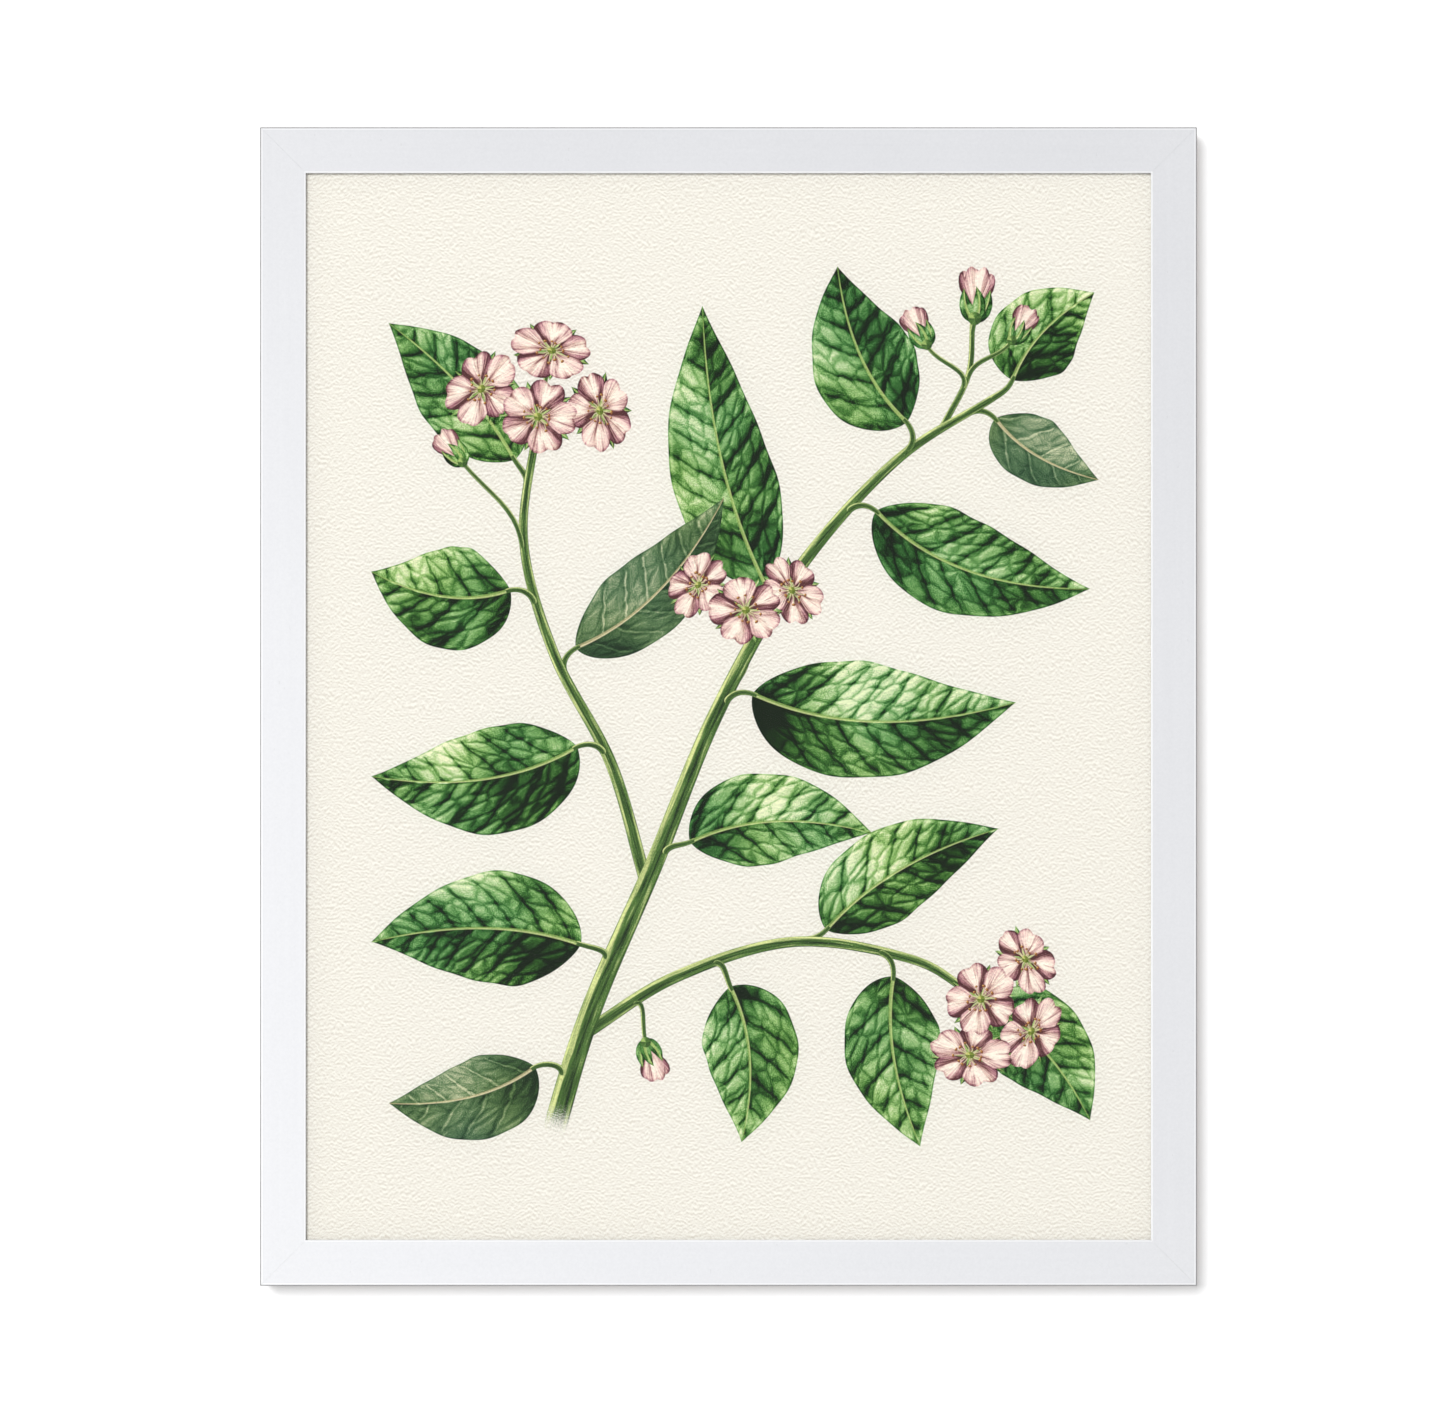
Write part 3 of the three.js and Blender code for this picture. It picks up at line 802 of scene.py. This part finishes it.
# stem that ends in it, size of a blossom, and for each outer blossom its turn off the stem in degrees and
# its distance from the stem's end
HEADS = [
    (LEFT_BRANCH, 20, [(-68, 30), (-4, 36), (62, 31)]),
    (RIGHT_BRANCH, 18, [(64, 29), (-2, 32), (-62, 28)]),
    (CENTRE_STALK, 17, [(-58, 25), (54, 27)]),
]
# stem, place along it, foot of the bud, the way it points in degrees, length
BUDS = [
    (TOP_STALK, 0.40, (91, 166), 116, 19),
    (TOP_STALK, 0.50, (130, 168), 58, 18),
    (TOP_STALK, 0.90, (113, 178), 86, 24),
    (RIGHT_BRANCH, 0.14, (-38, -154), -72, 19),
    (LEFT_BRANCH, 0.74, (-122, 112), 128, 18),
]


def axil(stem, at, goal, thickness):
    """Where a stalk sets out from a stem for its goal, with its round start just inside the stem's near
    rim, and the way the stem runs there."""
    place, heading = smooth_curve(stem.points)
    middle, way = place(at), heading(at)
    aside = left_of(way)
    if aside.dot(goal - middle) < 0:
        aside = -aside
    half = (stem.widths[0] + (stem.widths[1] - stem.widths[0]) * at) / 2
    inside = aside * max(half - thickness / 2, 0) - towards(way) * thickness / 2
    return middle + inside, towards(way)


def draw_leaf_on_stem(leaf, stalks, stem, at, tip, width, bend, narrow, ink, rng):
    """A blade with its stalk, which leaves the stem along it and turns into the rib."""
    tip = Vector(tip)
    joint, onward = axil(stem, at, tip, LEAF_STALK_WIDTHS[0])
    out = ((tip - joint).normalized() + onward * 0.45).normalized()
    base = joint + out * LEAF_STALK
    rib = towards(draw_leaf(leaf, base, tip, width, bend, rng.random(), ink, narrow))
    pull = LEAF_STALK * 0.4
    stalk = bezier(joint, joint + onward * pull, base - rib * pull, base + rib * 2)
    draw_stroke(stalks, stalk, LEAF_STALK_WIDTHS, "stem", STALK_ROWS)


def draw_head(blossoms, stem, size, outer, rng):
    """A loose head of blossoms at the stem's end, each on its own stalk."""
    place, heading = smooth_curve(stem.points)
    joint, onward = place(1.0), heading(1.0)
    ways = [(onward + math.radians(turn), distance) for turn, distance in outer]
    for way, distance in ways:
        centre = joint + towards(way) * distance
        stalk = bezier(joint, joint + towards(onward) * distance * 0.3,
                       centre - towards(way) * distance * 0.4, centre)
        draw_stroke(blossoms, stalk, HEAD_STALK_WIDTHS, "stem", HEAD_STALK_ROWS)
    for way, distance in ways + [(onward, size * 0.25)]:
        slant = 0.95 - distance / size * 0.12  # the outer ones turn away
        radius = size * rng.uniform(0.92, 1.06)
        draw_blossom(blossoms, joint + towards(way) * distance, radius, way, slant, rng)


def draw_bud_on_stem(buds, stem, at, foot, turn, length, rng):
    """A bud on a stalk that leaves the stem along it."""
    foot, way = Vector(foot), math.radians(turn)
    joint, onward = axil(stem, at, foot, BUD_STALK_WIDTHS[0])
    pull = (foot - joint).length * 0.4
    stalk = bezier(joint, joint + onward * pull, foot - towards(way) * pull, foot)
    draw_stroke(buds, stalk, BUD_STALK_WIDTHS, "stem", STALK_ROWS)
    draw_bud(buds, foot, way, length, rng)


ARTWORK_SEED = 20


def print_artwork():
    """A generic flowering spray: arching stems, plain oval leaves and five-petalled blossoms."""
    stem_greens = (srgb(24, 42, 20), srgb(84, 122, 56), srgb(224, 230, 156))
    inks = {
        "leaf_face": leaf_ink("leaf face ink", (FACE_COOL, FACE_WARM), RIB_LIGHT, False),
        "leaf_back": leaf_ink("leaf back ink", (BACK_COOL, BACK_WARM), RIB_PALE, True),
        "petal": petal_ink(),
        "main_stem": stroke_ink("main stem ink", *stem_greens, fades=True),
        "stem": stroke_ink("stem ink", *stem_greens),
        "filament": stroke_ink("filament ink", srgb(150, 140, 92), srgb(226, 216, 170),
                               srgb(250, 244, 216)),
        "anther": stroke_ink("anther ink", srgb(84, 44, 34), srgb(160, 98, 54), srgb(232, 190, 110)),
        "heart": stroke_ink("heart ink", srgb(64, 84, 30), srgb(136, 152, 62), srgb(214, 214, 130)),
        "cup": stroke_ink("cup ink", srgb(30, 54, 24), srgb(84, 124, 56), srgb(170, 196, 112)),
    }
    rng = random.Random(ARTWORK_SEED)
    canvas = Canvas()
    stems = Drawing(canvas)
    number = 0
    for group in (LEAVES_BEHIND, LEAVES_IN_FRONT):
        for spec in group:
            number += 1
            leaf = Drawing(canvas)
            draw_leaf_on_stem(leaf, stems, *spec, rng)
            leaf.piece(f"print_leaf_{number}", inks)
        if group is LEAVES_BEHIND:
            for stem in STEMS:
                ink = "main_stem" if stem is MAIN_STEM else "stem"
                draw_stroke(stems, smooth_curve(stem.points), stem.widths, ink, STEM_ROWS)
    stems.piece("print_stems", inks)
    for number, spec in enumerate(HEADS, 1):
        blossoms = Drawing(canvas)
        draw_head(blossoms, *spec, rng)
        blossoms.piece(f"print_blossoms_{number}", inks)
    buds = Drawing(canvas)
    for spec in BUDS:
        draw_bud_on_stem(buds, *spec, rng)
    buds.piece("print_buds", inks)
    deepest = FIRST_LEVEL + max(canvas.tops.values()) * LEVEL_STEP
    assert SHEET_FRONT_Y - deepest > GLASS_BACK_Y, "the drawing touches the glass"


# ---- Dressing the frame ------------------------------------------------------------------------

def dress(node, material):
    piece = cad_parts[node]
    piece.data.materials.clear()
    piece.data.materials.append(material)
    return piece


def soften(piece, width, segments=2):
    """A fine rounding of the edges, kept inside the solid."""
    bevel = piece.modifiers.new("eased edges", "BEVEL")
    bevel.width = width
    bevel.segments = segments
    bevel.limit_method = "ANGLE"
    bevel.angle_limit = math.radians(35)
    bevel.harden_normals = True


def dress_frame():
    for side, along in (("bottom", "x"), ("top", "x"), ("left", "z"), ("right", "z")):
        dress(f"rail_{side}", lacquered_rail(f"lacquered rail {side}", along))
    dress("glazing", clear_glass())
    dress("print_sheet", art_paper())
    dress("backing_board", fibreboard())
    zinc = plated_steel("zinc-plated steel", (0.60, 0.61, 0.63, 1.0), (0.36, 0.36, 0.36, 1.0))
    brass = plated_steel("brass-plated steel", (0.72, 0.54, 0.27, 1.0), (0.42, 0.30, 0.15, 1.0))
    rubber = bumper_rubber()
    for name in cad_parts:
        if name.startswith(("point_", "corner_nail_")):
            soften(dress(name, zinc), 0.08 * MM)
        elif name.startswith(("sawtooth_hanger", "hanger_nail_")):
            soften(dress(name, brass), 0.10 * MM)
        elif name.startswith("bumper_"):
            soften(dress(name, rubber), 0.25 * MM, 3)


# ---- Wall, floor, lights and camera ------------------------------------------------------------

PHOTO_WIDTH_PX = 1445
FRAME_WIDTH_PX = 937
FRAME_RIGHT_OF_MIDDLE_PX = 6
FRAME_BELOW_MIDDLE_PX = 6
LENS = 135.0  # mm
SENSOR = 36.0  # mm
WALL_PAINT = 1.20  # the photo's wall is pure white
FLOOR_PAINT = 0.85
ROOM_LIGHT = 0.44
BACKDROP = 0.93  # what a camera sees past the wall and the floor


def one_sided(name, brightness):
    """A stage surface that shows only from its front, so that the picture's back can be looked at."""
    g = Graph(name)
    paint = g.node("BsdfDiffuse", {"Color": (brightness, brightness, brightness, 1.0)})
    clear = g.node("BsdfTransparent", {"Color": (1.0, 1.0, 1.0, 1.0)})
    behind = g.node("NewGeometry", out="Backfacing")
    g.node_out(g.node("MixShader", {0: behind, 1: paint, 2: clear}))
    return g.material


def stage_plane(name, corners, material):
    mesh = bpy.data.meshes.new(name)
    mesh.from_pydata(corners, [], [tuple(range(len(corners)))])
    mesh.materials.append(material)
    plane = bpy.data.objects.new(name, mesh)
    bpy.context.scene.collection.objects.link(plane)
    # the stage is looked at, and neither shades the picture nor shines on it
    plane.visible_diffuse = False
    plane.visible_glossy = False
    plane.visible_shadow = False


def build_stage():
    reach, floor_z, wall_y = 8.0, -1.3, 0.3 * MM
    wall = [(-reach, wall_y, floor_z), (reach, wall_y, floor_z), (reach, wall_y, reach),
            (-reach, wall_y, reach)]
    floor = [(-reach, -reach, floor_z), (reach, -reach, floor_z), (reach, reach, floor_z),
             (-reach, reach, floor_z)]
    stage_plane("wall", wall, one_sided("wall paint", WALL_PAINT))
    stage_plane("floor", floor, one_sided("floor paint", FLOOR_PAINT))


def area_light(name, place, target, size, power, **visibility):
    """A square lamp. visibility says of a kind of ray whether it sees the lamp."""
    data = bpy.data.lights.new(name, "AREA")
    data.shape = "SQUARE"
    data.size = size
    data.energy = power
    lamp = bpy.data.objects.new(name, data)
    lamp.location = place
    lamp.rotation_mode = "QUATERNION"
    lamp.rotation_quaternion = (Vector(target) - Vector(place)).to_track_quat("-Z", "Y")
    for ray, seen in visibility.items():
        setattr(lamp, f"visible_{ray}", seen)
    bpy.context.scene.collection.objects.link(lamp)


def build_lights():
    world = bpy.data.worlds.new("soft room light")
    bpy.context.scene.world = world
    world.use_nodes = True
    tree = world.node_tree
    tree.nodes.clear()
    room = tree.nodes.new("ShaderNodeBackground")
    room.inputs["Color"].default_value = (1.0, 1.0, 1.0, 1.0)
    room.inputs["Strength"].default_value = ROOM_LIGHT
    backdrop = tree.nodes.new("ShaderNodeBackground")
    backdrop.inputs["Color"].default_value = (BACKDROP, BACKDROP, BACKDROP, 1.0)
    path = tree.nodes.new("ShaderNodeLightPath")
    mix = tree.nodes.new("ShaderNodeMixShader")
    output = tree.nodes.new("ShaderNodeOutputWorld")
    tree.links.new(path.outputs["Is Camera Ray"], mix.inputs[0])
    tree.links.new(room.outputs[0], mix.inputs[1])
    tree.links.new(backdrop.outputs[0], mix.inputs[2])
    tree.links.new(mix.outputs[0], output.inputs["Surface"])

    middle = (0.0, FRONT_Y, MIDDLE_Z)
    area_light("key", (-1.5, -7.5, MIDDLE_Z + 1.5), middle, size=2.34, power=385.0, glossy=False)
    # the cards show only as sheen, and make the rails differ in brightness as they do in the photo
    for side, x, z, power in (("left", -0.98, -0.05, 50.0), ("low", -0.25, -1.15, 40.0),
                              ("right", 0.98, -0.10, 12.0)):
        area_light(f"{side} sheen card", (x, -2.3, MIDDLE_Z + z), middle, size=0.90, power=power,
                   diffuse=False)
    area_light("back fill", (0.9, 2.2, MIDDLE_Z + 0.8), middle, size=1.2, power=22.0)


def build_camera():
    metres_per_px = FRAME_WIDTH / FRAME_WIDTH_PX
    seen_width = PHOTO_WIDTH_PX * metres_per_px
    data = bpy.data.cameras.new("camera")
    data.lens = LENS
    data.sensor_width = SENSOR
    data.clip_start = 0.05
    data.clip_end = 50.0
    camera = bpy.data.objects.new("camera", data)
    distance = seen_width * LENS / SENSOR
    camera.location = (-FRAME_RIGHT_OF_MIDDLE_PX * metres_per_px, FRONT_Y - distance,
                       MIDDLE_Z + FRAME_BELOW_MIDDLE_PX * metres_per_px)
    camera.rotation_euler = (math.pi / 2, 0.0, 0.0)
    bpy.context.scene.collection.objects.link(camera)
    bpy.context.scene.camera = camera
    bpy.context.scene.view_settings.view_transform = "Standard"


build_camera()
dress_frame()
print_artwork()
build_stage()
build_lights()
